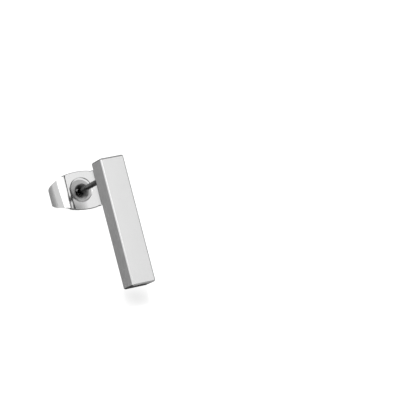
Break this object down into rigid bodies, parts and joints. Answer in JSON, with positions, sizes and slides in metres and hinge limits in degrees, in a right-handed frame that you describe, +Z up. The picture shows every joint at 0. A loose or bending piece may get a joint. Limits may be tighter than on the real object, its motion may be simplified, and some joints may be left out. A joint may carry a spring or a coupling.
{
  "type": "bar stud earring with butterfly clutch",
  "caption": "Slim square-edged steel bar stud with a soldered ear post and a butterfly clutch that slides off it.",
  "frame": {"origin": "on the surface that the stud stands on, under the middle of its box", "axes": "+Z up, +X across the bar, +Y from the bar's front towards the clutch; the bar leans back and the post runs down and back from it"},
  "size_m": [0.0064, 0.019, 0.0115],
  "materials": {
    "bar_steel": "polished steel with a fine lengthwise grain",
    "clutch_steel": "bright rolled steel strip"
  },
  "bodies": {
    "clutch": {"clutch": "clutch_steel"},
    "stud": {"bar_with_post": "bar_steel"}
  },
  "joints": [
    {"name": "post_pull", "type": "slide", "parent": "clutch", "child": "stud", "axis": [0, -0.6534, 0.757], "range_m": [-0.0073, 0.01]}
  ]
}
